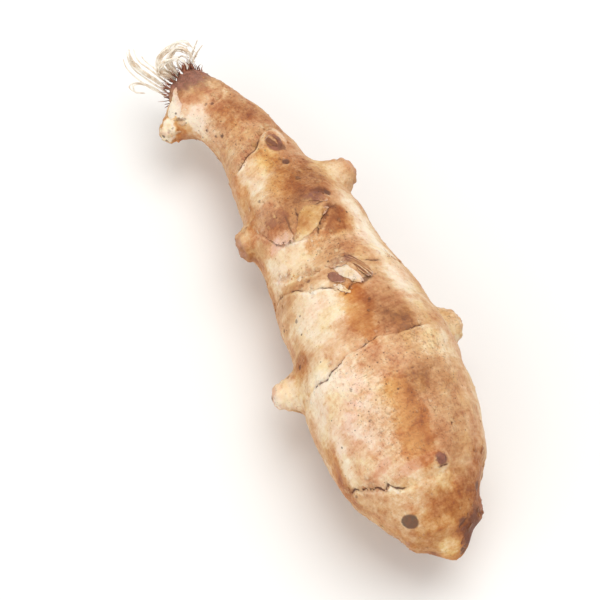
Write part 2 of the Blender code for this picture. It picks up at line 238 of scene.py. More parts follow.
# Papery scales that have come loose at one edge: name, (share, angle), (the way its free edge points, how far
# that edge lifts), tint and outline. The way is 0 towards the tip and 90 round towards -Y. The outline is in
# millimetres from the place at that share and angle: towards the tip, and round towards -Y.
SCALES = (
    ("shoulder_flap", (0.344, 48), (20, 0.62), "pink", (
        (-5, 4.8), (-5.4, 2), (-4, -2.2), (-0.9, -3.6), (4.9, -3.7), (5.2, -2.2), (4.2, 0.1), (0.1, 2.2),
    )),
    ("shoulder_scale", (0.36, 11), (-55, 0.34), "plain", (
        (-3.4, -0.3), (-2, -2.9), (-0.6, -4.8), (1.5, -2), (3.2, 1.5), (2.8, 4.4), (-0.1, 2.6),
    )),
    ("shoulder_scale_base", (0.338, -5), (0, 0.14), "pink", (
        (-0.4, 2.9), (-1.5, 1.2), (-1.2, -1.1), (0, -2.5), (2, -1.6), (0.8, 0.7),
    )),
    ("waist_flap", (0.456, 6), (-42, 0.6), "cream", (
        (-3.4, 1.2), (-3.2, -0.5), (-0.4, -1.2), (3.8, -2.6), (3.3, -1.1), (1.4, 0.5), (-0.9, 1.5),
    )),
    ("waist_scale_dark", (0.45, -5), (-20, 0.55), "striped", (
        (-3.2, 1.3), (-3.6, -0.2), (-1.6, -1.2), (2, -2), (4.4, -1.6), (2.8, 0.2), (0.2, 0.9),
    )),
    ("waist_scale_near", (0.438, 7), (30, 0.3), "pink", (
        (-1, 2.4), (-1.3, 0.6), (-1.2, -1.6), (1.4, -1.8), (1.9, 0), (0.7, 1.6),
    )),
    ("waist_scale_purple", (0.456, 14), (30, 0.2), "purple", (
        (-2.1, 1.3), (-1.2, -0.3), (1.8, -1.6), (1.7, -0.3), (-0.2, 1.2),
    )),
    ("waist_crescent", (0.469, 13), (40, 0.2), "cream", (
        (-1.9, 1.4), (-1, 0), (1.2, -1.1), (1.9, -0.9), (0.4, 0.6),
    )),
    ("neck_spike", (0.061, 59), (205, 0.9), "cream", (
        (-2.6, -2.3), (-0.5, -1.9), (1.4, -0.9), (2.2, 0.7), (1.4, 1.7), (-0.4, 1.9), (-1.3, 0),
    )),
    ("neck_eye_scale", (0.229, -10), (160, 0.3), "scar", (
        (-1.5, 1.1), (-1.1, -0.2), (0.3, -0.8), (1.2, -0.1), (0.9, 0.9), (-0.2, 1.5),
    )),
    ("back_scale", (0.352, -150), (-10, 0.35), "brown", (
        (-2.8, 1), (-2, -2.2), (0.4, -3.2), (2.9, -1.2), (2.2, 2.2), (-0.6, 2.8),
    )),
    ("under_scale", (0.452, 160), (20, 0.35), "pink", (
        (-2.2, 1.8), (-2.4, -1), (0.2, -2.6), (2.4, -1.4), (2, 1.6),
    )),
    ("far_scale", (0.556, -112), (0, 0.35), "brown", (
        (-2.2, 1.4), (-2, -1.8), (0.6, -2.4), (2.6, 0), (1.4, 2.2),
    )),
    ("far_scale_nose", (0.765, -104), (10, 0.3), "pink", (
        (-1.8, 1.4), (-1.8, -1.5), (0.6, -2), (2, 0.3), (0.8, 1.8),
    )),
)

# The numbers at each point of the skin that its material reads. All of them are 0 on plain skin. The scales
# have one more, rim, which grows towards their free edges.
# The "dark" mark holds dark marks of the skin and painted shadow in the eyes' moats and beside raised scale
# edges.
STAINS_AND_SHADOWS = ("rust", "yellow", "pink", "purple", "dark", "specks")
MARKS = ("tone", "crack", "scurf", "bud", "eye", "spot", "crown", *STAINS_AND_SHADOWS)
SCALE_MARKS = ("tone", *STAINS_AND_SHADOWS)  # the marks of the skin under it that a scale takes on

SCALE_THICKNESS = 0.14
SCALE_GAP = 0.08  # how far above the skin a scale's top lies
SCURF_SCALES = 420  # the small scales that lie loose on the scurf beside the rings
SCURF_HALF_LENGTHS = (0.25, 0.70)
SCURF_LIFTS = (0.03, 0.10)
SCURF_CORNERS = 9
FLOOR_GAP = 0.02  # no scale, bristle or hair comes nearer to the floor

# Bristles of the old stolon's woody fibres, round the stem end: how many, the middle and the spread of the
# angles they stand at, 0 towards -Y and 90 up, their lengths, and their radii at the base.
BRISTLES = 180
BRISTLE_ANGLES = (112, 50)
BRISTLE_LENGTHS = (0.9, 2.6)
BRISTLE_RADII = (0.10, 0.19)
BRISTLE_STEPS = 6

# The fine roots at the stem end: how many in each bundle, how far they stray from its path, the least and the
# greatest radius at the base, and the path itself: out from the scar, sideways (-Y) and up.
HAIRS = (
    (15, 0.3, (0.11, 0.2), (
        (0, 3.6, 2.4), (2, 5.1, 4.4), (4.2, 6.1, 5.8), (6.5, 6.9, 7.1), (8.1, 7, 8.2), (9.5, 6.4, 9.6),
    )),
    (10, 0.36, (0.11, 0.22), (
        (0, 1.2, 4.3), (2.4, 3.6, 7.2), (3, 2.3, 9.6), (2.7, -0.6, 11), (1.7, -3.2, 11.5),
        (-0.3, -4.4, 9.9),
    )),
    (8, 0.36, (0.11, 0.21), (
        (0, 0.2, 4.5), (1, 2.2, 8.2), (1.4, 1, 10.6), (0.8, -0.9, 11.7), (-0.6, -2.5, 11), (-2, -3, 9.5),
    )),
    (6, 0.32, (0.11, 0.19), (
        (0, 0.1, 3.7), (2.2, 0.6, 6.8), (2.9, -0.9, 8.8), (2.4, -2.9, 9.4), (0.8, -3.8, 8.4),
        (-0.5, -3.2, 7),
    )),
    (8, 0.36, (0.11, 0.21), (
        (0, 1.5, 4.3), (-0.3, 3.4, 6.8), (0.4, 5, 8.8), (0.5, 3.6, 10.8), (-0.9, 0.7, 11),
        (-2.6, -0.5, 9.7),
    )),
    (5, 0.32, (0.11, 0.18), (
        (0, 1.1, 2.7), (2.6, 2.3, 4.8), (4.2, 1.9, 6.5), (4.6, 0, 7.9), (4.4, -2.5, 8.7),
        (3.5, -4.1, 8.5),
    )),
    (5, 0.22, (0.1, 0.17), (
        (0, -1.5, 3.7), (1.4, -1, 6.2), (1.6, -2.4, 7.4), (0.6, -3.2, 6.8),
    )),
    (5, 0.18, (0.13, 0.2), (
        (0, -2.2, 4), (0.4, -4.3, 7), (-0.4, -5.9, 11.6),
    )),
    (5, 0.18, (0.13, 0.19), (
        (0, -2.9, 3.4), (0.6, -5, 5.6), (-0.4, -7, 9),
    )),
    (5, 0.14, (0.08, 0.12), (
        (0, 4.1, -0.3), (2.6, 5, 1.2), (4.7, 6.7, 2.5), (6.1, 8.5, 2.8), (5.1, 8.9, 1.1), (3.9, 7.1, 0.3),
    )),
)
HAIR_STEPS = 7  # the points on a hair for each of its path's

SEED = 7


# ---------------------------------------------------------------- numbers


def srgb(red, green, blue):
    """A colour given as 0 to 255 on a screen, as Blender's linear values."""
    values = [c / 255 for c in (red, green, blue)]
    return tuple(c / 12.92 if c <= 0.04045 else ((c + 0.055) / 1.055) ** 2.4 for c in values) + (1.0,)


def ease(low, high, value):
    """0 up to low, 1 from high on, and a smooth step between them. low may be the larger."""
    t = np.clip((value - low) / (high - low), 0.0, 1.0)
    return t * t * (3 - 2 * t)


def bell(value, width):
    """1 at 0, falling away smoothly to both sides."""
    return np.exp(-((value / width) ** 2))


def noise(points, size, seed):
    """Smooth noise from about -1 to 1, with features of about this size."""
    chance = np.random.default_rng(seed)
    order = chance.permutation(256)
    slopes = chance.normal(size=(256, 3))
    slopes /= np.linalg.norm(slopes, axis=1)[:, None]
    grid = points / size + chance.uniform(0, 64, 3)
    cell = np.floor(grid).astype(int)
    part = (grid - cell).T
    eased = part**3 * (part * (part * 6 - 15) + 10)
    cell = cell.T
    total = np.zeros(len(points))
    for corner in itertools.product((0, 1), repeat=3):
        key = 0
        for k in range(3):
            key = order[(key + cell[k] + corner[k]) & 255]
        slope = slopes[key].T
        reach = sum((part[k] - corner[k]) * slope[k] for k in range(3))
        for k in range(3):
            reach *= eased[k] if corner[k] else 1 - eased[k]
        total += reach
    return total * 1.6


def fractal(points, size, seed, octaves):
    """Noise with finer noise on it, each octave half the size and half the height of the one before."""
    total = np.zeros(len(points))
    for i in range(octaves):
        total += noise(points, size / 2**i, seed + i) / 2**i
    return total / 1.5


# ---------------------------------------------------------------- the spine


def blended(values, share):
    """A smooth curve through equally spaced values, read at a share from 0 to 1 of the way along them."""
    place = min(max(share, 0.0), 1.0) * (len(values) - 1)
    first = min(int(place), len(values) - 2)
    t = place - first
    before = values[max(first - 1, 0)]
    start, end = values[first], values[first + 1]
    after = values[min(first + 2, len(values) - 1)]
    pull_start = (end - before) / 2
    pull_end = (after - start) / 2
    return (
        start * (2 * t**3 - 3 * t**2 + 1)
        + pull_start * (t**3 - 2 * t**2 + t)
        + end * (3 * t**2 - 2 * t**3)
        + pull_end * (t**3 - t**2)
    )


class Spine:
    """The tuber's middle line, with the directions along, sideways (-Y) and up at each of its samples."""

    def __init__(self):
        self.shares = np.linspace(0, 1, SPINE_SAMPLES)
        columns = list(zip(*STATIONS))
        across, sideways, underside, girth = (
            np.array([blended(column, share) for share in self.shares]) for column in columns
        )
        self.radius = girth * GIRTH_RADIUS
        height = underside * GIRTH_RADIUS + self.radius
        self.points = np.stack([across * LENGTH, sideways * LENGTH, height], axis=1) + ORIGIN
        along = np.gradient(self.points, axis=0)
        self.arc = np.r_[0, np.cumsum(np.linalg.norm(np.diff(self.points, axis=0), axis=1))]
        self.along = along / np.linalg.norm(along, axis=1)[:, None]
        side = np.cross(self.along, (0, 0, 1))
        self.side = side / np.linalg.norm(side, axis=1)[:, None]
        self.up = np.cross(self.side, self.along)

    def index(self, share):
        return int(round(min(max(share, 0.0), 1.0) * (SPINE_SAMPLES - 1)))

    def arc_at(self, share):
        return np.interp(share, self.shares, self.arc)

    def directions(self, share, degrees):
        """(point on the spine, along it, out of it at this angle, round it) at a place."""
        i = self.index(share)
        turn = math.radians(degrees)
        out = self.up[i] * math.cos(turn) + self.side[i] * math.sin(turn)
        round_it = self.side[i] * math.cos(turn) - self.up[i] * math.sin(turn)
        return self.points[i], self.along[i], out, round_it


class Skin:
    """Points of the tuber's skin with their places: how far along the spine, and the angle round it."""

    def __init__(self, spine, points, normals, tree):
        self.spine, self.points, self.normals, self.tree = spine, points, normals, tree
        nearest = np.empty(len(points), int)
        for start in range(0, len(points), BLOCK):
            block = points[start : start + BLOCK]
            gaps = ((block[:, None] - spine.points[None]) ** 2).sum(axis=2)
            nearest[start : start + BLOCK] = gaps.argmin(axis=1)
        offset = points - spine.points[nearest]
        self.arc = spine.arc[nearest] + (offset * spine.along[nearest]).sum(axis=1)
        self.share = np.interp(self.arc, spine.arc, spine.shares)
        sideways = (offset * spine.side[nearest]).sum(axis=1)
        upwards = (offset * spine.up[nearest]).sum(axis=1)
        self.angle = np.degrees(np.arctan2(sideways, upwards))
        self.radius = np.hypot(sideways, upwards)
        self.tube = np.stack([self.arc, upwards, sideways], axis=1)
        self.ragged = self.fractal(2.6, 400, 4)

    def noise(self, size, seed):
        return noise(self.points, size, seed)

    def fractal(self, size, seed, octaves=3):
        return fractal(self.points, size, seed, octaves)

    def surface(self, share, degrees):
        """The point of the skin at a place."""
        middle, _, out, _ = self.spine.directions(share, degrees)
        far = Vector(middle + out * OUTSIDE)
        hit, _, _, _ = self.tree.ray_cast(far, Vector(-out))
        if hit is None:
            hit, _, _, _ = self.tree.find_nearest(Vector(middle))
        return np.array(hit)

    def local(self, share, degrees, turn=0.0):
        """Each point's distance from a place, along and across a line turned from the spine, and outwards."""
        _, along, out, round_it = self.spine.directions(share, degrees)
        offset = self.points - self.surface(share, degrees)
        a, b = offset @ along, offset @ round_it
        c, s = math.cos(math.radians(turn)), math.sin(math.radians(turn))
        return a * c + b * s, b * c - a * s, offset @ out

    def reach(self, share, degrees, long, wide, turn, ragged):
        """0 at the middle of an oval patch and 1 at its ragged edge."""
        a, b, out = self.local(share, degrees, turn)
        far = np.hypot(a / long, b / wide) + ragged * self.ragged
        return np.where(np.abs(out) > 6 + min(long, wide), 9.0, far)

    def patch(self, share, degrees, long, wide, turn):
        """1 inside an oval patch and 0 outside it."""
        far = self.reach(share, degrees, long, wide, turn, PATCH_RAGGED)
        return ease(1 + PATCH_SOFT, 1 - PATCH_SOFT, far)

    def ring_gap(self, line, seed):
        """How far each point is past a ring, along the skin towards the tip."""
        angles, shares = zip(*line)
        arcs = self.spine.arc_at(np.array(shares))
        middle = np.interp(self.angle, angles, arcs, period=360)
        beside = np.interp(self.angle + 3, angles, arcs, period=360)
        slope = (beside - middle) / (np.radians(3) * np.maximum(self.radius, 3))
        wander = 0.45 * self.noise(5.0, seed + 60) + 0.28 * self.noise(1.7, seed + 61)
        wander += 0.13 * self.noise(0.8, seed + 62)
        return (self.arc - middle + wander) / np.sqrt(1 + slope**2)


def between(angle, first, last, soft):
    """1 between two angles and 0 outside them, with a change this wide at both."""
    middle, half = (first + last) / 2, (last - first) / 2
    off = np.abs((angle - middle + 180) % 360 - 180)
    return ease(half + soft / 2, half - soft / 2, off)


# ---------------------------------------------------------------- the skin's mesh


def add_object(name, data):
    obj = bpy.data.objects.new(name, data)
    bpy.context.scene.collection.objects.link(obj)
    return obj


def mesh_arrays(mesh):
    """(points, normals) of a mesh, the points in millimetres."""
    points = np.empty(len(mesh.vertices) * 3, np.float32)
    mesh.vertices.foreach_get("co", points)
    normals = np.empty(len(mesh.vertices) * 3, np.float32)
    mesh.vertex_normals.foreach_get("vector", normals)
    return points.reshape(-1, 3).astype(float) / MM, normals.reshape(-1, 3).astype(float)


def tree_of(mesh):
    """The mesh as a tree for ray casts, in millimetres."""
    points, _ = mesh_arrays(mesh)
    mesh.calc_loop_triangles()
    corners = np.empty(len(mesh.loop_triangles) * 3, np.int32)
    mesh.loop_triangles.foreach_get("vertices", corners)
    return BVHTree.FromPolygons(points.tolist(), corners.reshape(-1, 3).tolist())


def fine_copy(node):
    """A new object with the CAD node's shape, remeshed finely and smoothed."""
    obj = add_object("tuber_skin", node.data.copy())
    fine = obj.modifiers.new("fine", "REMESH")
    fine.mode = "VOXEL"
    fine.voxel_size = SKIN_VOXEL * MM
    smooth = obj.modifiers.new("smooth", "SMOOTH")
    smooth.factor = 0.5
    smooth.iterations = SKIN_SMOOTHING_ROUNDS
    bpy.context.view_layer.update()
    graph = bpy.context.evaluated_depsgraph_get()
    mesh = bpy.data.meshes.new_from_object(obj.evaluated_get(graph))
    obj.modifiers.clear()
    obj.data = mesh
    return obj


def split_near(mesh, near):
    """Splits the faces whose points are all marked, so that fine shapes there hold."""
    grid = bmesh.new()
    grid.from_mesh(mesh)
    grid.verts.ensure_lookup_table()
    chosen = [edge for edge in grid.edges if near[edge.verts[0].index] and near[edge.verts[1].index]]
    bmesh.ops.subdivide_edges(grid, edges=chosen, cuts=1, use_grid_fill=True)
    grid.to_mesh(mesh)
    grid.free()


def store(mesh, name, values):
    """Keeps one number at each point of the mesh for the material to read."""
    attribute = mesh.attributes.new(name, "FLOAT", "POINT")
    attribute.data.foreach_set("value", np.asarray(values, np.float32))


# ---------------------------------------------------------------- the skin's shape and marks


def raise_mark(marks, name, values):
    """Lifts a mark to these values wherever they are above it."""
    marks[name] = np.maximum(marks[name], values)


def ring_shapes(skin, height, marks):
    """The leaf scars: a crack where the ring is open, a low step behind it, and brown scurf beside it."""
    for i, (depth, step, (first, last), line) in enumerate(RINGS.values()):
        gap = skin.ring_gap(line, 10 * i)
        opened = between(skin.angle, first, last, 14)
        opened = opened * (0.55 + 0.45 * ease(-0.6, 0.0, skin.noise(5.5, 80 + i)))
        faint = 0.30 * ease(0.0, 0.5, skin.noise(4.0, 70 + i))
        height -= depth * opened * bell(gap, CRACK_WIDTH)
        height -= 0.30 * depth * bell(gap, VALLEY_WIDTH)
        height += step * ease(-0.2, 0.35, gap) * np.exp(-np.maximum(gap, 0) / 3.5)
        height += 0.6 * step * ease(-0.3, -1.2, gap) * np.exp(-np.maximum(-gap, 0) / 1.6)
        clear = opened * min(1.0, depth / 0.25)
        raise_mark(marks, "crack", np.maximum(clear, faint) * np.clip(1 - np.abs(gap), 0, 1))
        beside = np.exp(-((gap + 0.9) ** 2) / 2.2) * (0.35 + 0.65 * opened)
        raise_mark(marks, "scurf", beside * ease(-0.3, 0.6, skin.noise(3.0, 90 + i)))
        marks["tone"] -= 0.45 * opened * bell(gap - 0.55, 0.35)


def slit_shapes(skin, height, marks):
    """The short cracks."""
    for share, degrees, half, turn, depth in SLITS:
        a, b, out = skin.local(share, degrees, turn)
        across = b + 0.25 * skin.noise(1.2, 160) + 0.12 * a * np.abs(a) / half
        along_it = ease(1.15 * half, 0.7 * half, np.abs(a)) * (np.abs(out) < 4)
        height -= depth * along_it * bell(across, SLIT_WIDTH)
        raise_mark(marks, "crack", along_it * np.clip(1 - np.abs(across), 0, 1))


def bud_shapes(skin, height, marks):
    """The buds that stand out: each with scale rims round it and a pinkish, scaly end."""
    for i, (share, degrees, stand, root) in enumerate(BUDS.values()):
        a, b, out = skin.local(share, degrees)
        side = np.hypot(a, b)
        on = ease(1.6 * root, 0.9 * root, side) * ease(-stand - 4, -stand - 1, out)
        rims = np.sin((out + 0.5 * skin.noise(2.0, 120 + i)) * 2 * math.pi / 1.7)
        up_it = ease(-stand, -0.3 * stand, out)
        height += 0.16 * on * rims * up_it
        height += 0.24 * on * skin.fractal(2.2, 130 + i)
        height += 0.10 * on * up_it * skin.fractal(0.9, 230 + i, 2)
        end = ease(-0.50 * stand - 0.3, 0.1, out + 0.6 * skin.noise(1.2, 140 + i))
        tight = np.cos((side + 0.35 * skin.noise(1.4, 240 + i)) * 2 * math.pi / (0.36 * root))
        height += 0.14 * on * end * tight
        raise_mark(marks, "bud", on * end * (0.62 + 0.38 * skin.noise(1.5, 250 + i)))
        creases = np.maximum(up_it * ease(-0.75, -1.0, rims), 1.3 * end * ease(-0.70, -1.0, tight))
        raise_mark(marks, "crack", 0.55 * on * creases)
        raise_mark(marks, "dark", 0.7 * on * end * ease(0.22 * root, 0.05 * root, side))


def eye_shapes(skin, height, marks):
    """The flat buds: a little scaly cone in a shallow moat with a painted shadow in it, and a pale lip round
    it.
    """
    for i, (share, degrees, long, wide, turn, moat) in enumerate(EYES):
        far = skin.reach(share, degrees, long, wide, turn, 0.36)
        rough = 1 + 0.6 * skin.noise(1.0, 170 + i)
        height += 0.20 * bell(far - 1.30, 0.30) * rough
        height -= 0.30 * moat * bell(far - 0.95, 0.18)
        height += 0.42 * bell(far, 0.70) * rough
        raise_mark(marks, "eye", ease(1.25, 0.55, far))
        # Painted shadow: a broken dark ring in the moat, put into the dark mark.
        shadow = ease(0.65, 0.95, far) * ease(1.35, 1.05, far)
        broken = ease(-0.2, 0.6, skin.noise(2.0, 175 + i))
        raise_mark(marks, "dark", moat * shadow * broken)
        marks["tone"] -= 0.30 * ease(1.05, 1.3, far) * ease(2.0, 1.4, far)


def spot_shapes(skin, height, marks):
    """Round marks and pits: those of the table, then small ones scattered by chance."""
    chance = random.Random(SEED)
    smallest, largest = RANDOM_SPOT_RADII
    spots = [(skin.surface(share, degrees), *rest) for share, degrees, *rest in SPOTS]
    for _ in range(RANDOM_SPOTS):
        centre = skin.points[chance.randrange(len(skin.points))]
        radius = smallest + (largest - smallest) * chance.random() ** 3
        spots.append((centre, radius, 0.12 * chance.uniform(-0.5, 1.0), chance.uniform(0.1, 0.7)))
    wobble = 1 + 0.07 * skin.noise(0.9, 180)
    for centre, radius, depth, dark in spots:
        far = np.linalg.norm(skin.points - centre, axis=1) / radius * wobble
        inside = ease(1.25, 0.75, far)
        height -= depth * inside
        raise_mark(marks, "spot", dark * inside)


def patch_marks(skin, marks):
    """The listed patches of colour."""
    # A few of them paint light and shade: two "light" patches on the neck and one on the near belly bud are
    # painted highlights, and four "dark" ones are painted shadow.
    for kind, patches in PATCHES.items():
        for *oval, strength in patches:
            inside = strength * skin.patch(*oval)
            if kind == "light":
                marks["tone"] -= inside
            elif kind == "brown":
                marks["tone"] += inside
            else:
                raise_mark(marks, kind, inside)


def hidden_marks(skin, marks):
    """The same kinds of patches where none are listed: on the far side and underneath."""
    hidden = np.clip(ease(85, 125, skin.angle) + ease(-50, -90, skin.angle), 0, 1)
    marks["tone"] += hidden * (0.75 * skin.noise(9.0, 190) + 0.10)
    raise_mark(marks, "rust", 0.85 * hidden * ease(0.35, 0.75, skin.noise(8.0, 191)))
    raise_mark(marks, "specks", hidden * ease(-0.1, 0.6, skin.noise(12.0, 192)))
    raise_mark(marks, "pink", 0.5 * hidden * ease(0.4, 0.8, skin.noise(9.0, 193)))


def crown_shape(skin, height, marks):
    """The stem end: a rough purple-brown scar with ridges from its middle, a notch, and crust on its bud."""
    angles, shares = zip(*CROWN_EDGE)
    edge = np.interp(skin.angle, angles, shares, period=360)
    crown = ease(0.022, -0.040, skin.share - edge + 0.014 * skin.ragged)
    turn = np.radians(skin.angle)
    ridges = np.sin(17 * turn + 2.5 * skin.noise(1.6, 200)) + np.sin(29 * turn + 1.0)
    height += 0.16 * crown * ridges + 0.35 * crown * skin.fractal(1.5, 201, 3)
    share, degrees, long, wide, depth = NECK_NOTCH
    height -= depth * np.exp(-(skin.reach(share, degrees, long, wide, 0, 0.0) ** 2))
    marks["crown"] = crown
    share, degrees, long, wide, turn, stand = NECK_CRUST
    far = skin.reach(share, degrees, long, wide, turn, 0.45)
    crust = ease(1.15, 0.85, far)
    height += crust * (stand + 0.34 * skin.fractal(1.3, 205, 2) + 0.20 * skin.noise(0.6, 206))
    marks["tone"] -= crust * (1.0 + 0.9 * skin.noise(0.8, 207))
    blotch = ease(0.1, 0.5, skin.noise(1.3, 208))
    raise_mark(marks, "purple", 0.60 * crust * blotch)
    marks["rust"] *= 1 - crust
    raise_mark(marks, "rust", 0.9 * ease(0.75, 1.0, far) * ease(1.5, 1.15, far))


def wrinkle_shapes(skin, height):
    """Fine creases round the girth, deeper on the neck and waist, and shallow flaky steps."""
    folds = noise(skin.tube / (0.95, 7.0, 7.0), 1.0, 210) + 0.6 * noise(skin.tube / (0.5, 4.0, 4.0), 1.0, 211)
    where = 0.35 + 0.65 * ease(0.0, 0.6, skin.noise(11.0, 212))
    where += 0.6 * bell(skin.share - 0.47, 0.06) + 0.5 * ease(0.25, 0.05, skin.share)
    height -= 0.07 * where * bell(folds, 0.22)
    flaky = skin.fractal(3.4, 213, 4)
    height += 0.055 * ease(0.10, 0.16, flaky) + 0.045 * ease(-0.30, -0.25, flaky)
    height += 0.045 * skin.fractal(0.9, 214, 2)


def skin_shape(skin):
    """(height to add along the normal, marks for the material) at each point."""
    height = 0.42 * skin.fractal(9.0, 1, 2) + 0.13 * skin.fractal(2.6, 4, 3)
    marks = {name: np.zeros(len(skin.points)) for name in MARKS}
    ring_shapes(skin, height, marks)
    slit_shapes(skin, height, marks)
    patch_marks(skin, marks)
    hidden_marks(skin, marks)
    bud_shapes(skin, height, marks)
    eye_shapes(skin, height, marks)
    spot_shapes(skin, height, marks)
    crown_shape(skin, height, marks)
    wrinkle_shapes(skin, height)
    return height, marks


def build_skin(node, spine, material):
    """(the skin's object, the skin), where the skin also has its marks and a finder of its points."""
    skin_object = fine_copy(node)
    mesh = skin_object.data
    points, normals = mesh_arrays(mesh)
    skin = Skin(spine, points, normals, tree_of(mesh))
    near = np.zeros(len(points), bool)
    for i, (_, _, (first, last), line) in enumerate(RINGS.values()):
        open_here = between(skin.angle, first, last, 20) > 0.1
        near |= (np.abs(skin.ring_gap(line, 10 * i)) < CRACK_REACH) & open_here
    split_near(mesh, near)

    points, normals = mesh_arrays(mesh)
    skin = Skin(spine, points, normals, tree_of(mesh))
    height, marks = skin_shape(skin)
    moved = points + normals * height[:, None]
    moved[:, 2] = np.maximum(moved[:, 2], 0.0)
    mesh.vertices.foreach_set("co", (moved * MM).astype(np.float32).ravel())
    mesh.update()
    for name, values in marks.items():
        store(mesh, name, values)
    mesh.shade_smooth()
    mesh.materials.clear()
    mesh.materials.append(material)
    skin.tree = tree_of(mesh)
    skin.marks = marks
    skin.finder = KDTree(len(moved))
    for i, point in enumerate(moved):
        skin.finder.insert(Vector(point), i)
    skin.finder.balance()
    return skin_object, skin


# ---------------------------------------------------------------- loose scales

# For each tint, how much its ribs darken and lighten it, and what it adds to the marks of the skin under it.
SCALE_TINTS = {
    "pink": (0.16, {"pink": 0.45, "tone": -0.15}),
    "purple": (0.45, {"purple": 0.80, "tone": 0.5}),
    "cream": (0.20, {"tone": -0.95, "rust": -0.8, "purple": -1.0}),
    "plain": (0.06, {"yellow": 0.75, "tone": -0.40, "rust": -0.5, "purple": -0.6, "specks": -0.5}),
    "brown": (0.35, {"tone": 0.80, "purple": 0.25}),
    "scar": (0.80, {"tone": 0.50, "purple": 0.25}),
    "striped": (1.10, {"tone": 0.45, "rust": -0.3, "purple": 0.10}),
}
SCALE_RIBS = 6.5  # how fast its ribs follow each other, in radians for each millimetre
SCALE_SINK = 0.03  # how far a scale's held edge is under the skin
SCALE_RINGS = 12
SCALE_SPOKES = 72


def closed_outline(corners, spokes):
    """Points at even steps on a smooth closed curve through the corners."""
    corners = np.array(corners, float)
    round_again = np.vstack([corners[-1:], corners, corners[:2]])
    shares = (1 + np.arange(spokes) * len(corners) / spokes) / (len(round_again) - 1)
    return np.array([blended(round_again, share) for share in shares])


def sheet_faces(rings, spokes):
    """The faces of a closed sheet: rings of points round a middle one on top, and the same again below."""
    count = 1 + rings * spokes
    faces = []
    for spoke in range(spokes):
        after = (spoke + 1) % spokes
        faces.append((0, 1 + spoke, 1 + after))
        faces.append((count, count + 1 + after, count + 1 + spoke))
        for ring in range(1, rings):
            inner, outer = 1 + (ring - 1) * spokes, 1 + ring * spokes
            faces.append((inner + spoke, outer + spoke, outer + after, inner + after))
            low = (count + inner + spoke, count + inner + after, count + outer + after, count + outer + spoke)
            faces.append(low)
        rim = 1 + (rings - 1) * spokes
        faces.append((rim + spoke, count + rim + spoke, count + rim + after, rim + after))
    return faces


def scale_sheet(skin, share, degrees, outline, turn, lift, rings, chance):
    """(points, faces, nearness to the free edge, ribs) of a thin closed sheet that lies on the skin."""
    _, along, out, round_it = skin.spine.directions(share, degrees)
    c, s = math.cos(math.radians(turn)), math.sin(math.radians(turn))
    centre = skin.surface(share, degrees)
    freely = outline[:, 0] * c + outline[:, 1] * s
    reach = freely.max()
    phases = [chance.uniform(0, 2 * math.pi) for _ in range(3)]
    spokes = len(outline)
    tops, bottoms, freedom, ribs = [], [], [], []
    for ring in range(rings + 1):
        far = ring / rings
        for spoke in range(spokes if ring else 1):
            theta = 2 * math.pi * spoke / spokes
            edge = 1 + 0.045 * math.sin(5 * theta + phases[0]) + 0.03 * math.sin(11 * theta + phases[1])
            edge += 0.02 * math.sin(17 * theta + phases[2])
            u, v = outline[spoke] * far * edge
            start = centre + along * u + round_it * v + out * 8
            hit, normal, _, _ = skin.tree.ray_cast(Vector(start), Vector(-out), 20)
            if hit is None:
                hit, normal, _, _ = skin.tree.find_nearest(Vector(start - out * 8))
            forward, across = u * c + v * s, v * c - u * s
            loose = float(ease(-0.35, 1.0, np.array(forward / reach)))
            wave = 1 + 0.30 * math.sin(1.1 * across + phases[0])
            rise = lift * loose**1.4 * wave - SCALE_SINK * (1 - loose) * (0.4 + 0.6 * far)
            rise += 0.06 * math.sin(2.3 * u + phases[1]) * math.sin(1.9 * v + phases[2])
            rib = math.sin(SCALE_RIBS * across + 2.2 * math.sin(1.3 * across + phases[2]) + 0.5 * forward)
            rib *= 0.5 + 0.5 * math.sin(1.7 * across + 0.8 * forward + phases[1])
            rise += 0.02 * rib * min(1.0, reach / 2)
            top = np.array(hit) + np.array(normal) * (rise + SCALE_GAP)
            tops.append(top)
            bottoms.append(top - np.array(normal) * SCALE_THICKNESS * (1.0 - 0.5 * far))
            freedom.append(loose * far)
            ribs.append(rib)
    return tops + bottoms, sheet_faces(rings, spokes), freedom + freedom, np.array(ribs + ribs)


def mesh_object(name, points, faces, marks, material):
    """A new object from points in millimetres, faces and numbers at the points, which rides on the tuber."""
    mesh = bpy.data.meshes.new(name)
    places = np.array(points)
    places[:, 2] = np.maximum(places[:, 2], FLOOR_GAP)
    mesh.from_pydata((places * MM).tolist(), [], faces)
    mesh.update()
    grid = bmesh.new()
    grid.from_mesh(mesh)
    bmesh.ops.recalc_face_normals(grid, faces=grid.faces)
    grid.to_mesh(mesh)
    grid.free()
    for key, values in marks.items():
        store(mesh, key, values)
    mesh.shade_smooth()
    mesh.materials.append(material)
    obj = add_object(name, mesh)
    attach(obj, "root")
    return obj


def build_scales(skin, material):
    """The scales of the table. Each takes on the marks of the skin under it, and its own tint on top."""
    chance = random.Random(SEED + 1)
    for name, place, (turn, lift), tint, corners in SCALES:
        outline = closed_outline(corners, SCALE_SPOKES)
        points, faces, free, ribs = scale_sheet(skin, *place, outline, turn, lift, SCALE_RINGS, chance)
        under = [skin.finder.find(Vector(point))[1] for point in points]
        marks = {key: skin.marks[key][under] for key in SCALE_MARKS}
        ribbed, added = SCALE_TINTS[tint]
        for key, value in added.items():
            marks[key] = marks[key] + value
        marks["tone"] = marks["tone"] + ribbed * ribs
        marks["rim"] = np.array(free)
        mesh_object(name, points, faces, marks, material)


